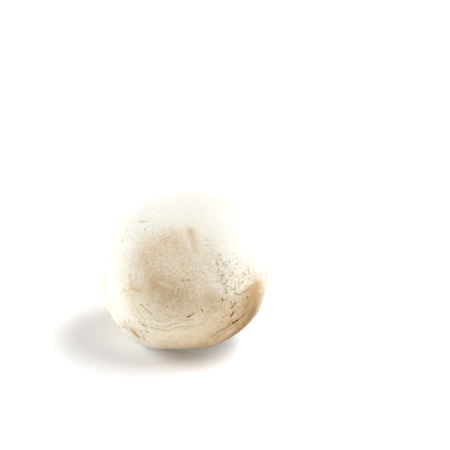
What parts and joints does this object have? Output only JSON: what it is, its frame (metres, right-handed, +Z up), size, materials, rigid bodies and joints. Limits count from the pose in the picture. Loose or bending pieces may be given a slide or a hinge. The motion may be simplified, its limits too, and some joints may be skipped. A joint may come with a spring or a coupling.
{
  "type": "button mushroom",
  "caption": "Closed white button mushroom: a domed cap whose margin rolls under to a closed veil, and a short sheathed stem cut flat, lying tipped on margin and stem.",
  "frame": {"origin": "on the table, under the middle of the mushroom's bounding box", "axes": "+Z up from the table; the cap leans forward towards -Y, so the crown faces -Y and up, and the cut stem points back and down towards +Y; +X is across the cap"},
  "size_m": [0.0504, 0.0472, 0.0424],
  "materials": {
    "mushroom_skin": "matte suede-like white mushroom skin, warm cream with fawn bruises and fine brown cracks"
  },
  "bodies": {
    "root": {"mushroom": "mushroom_skin"}
  },
  "joints": []
}
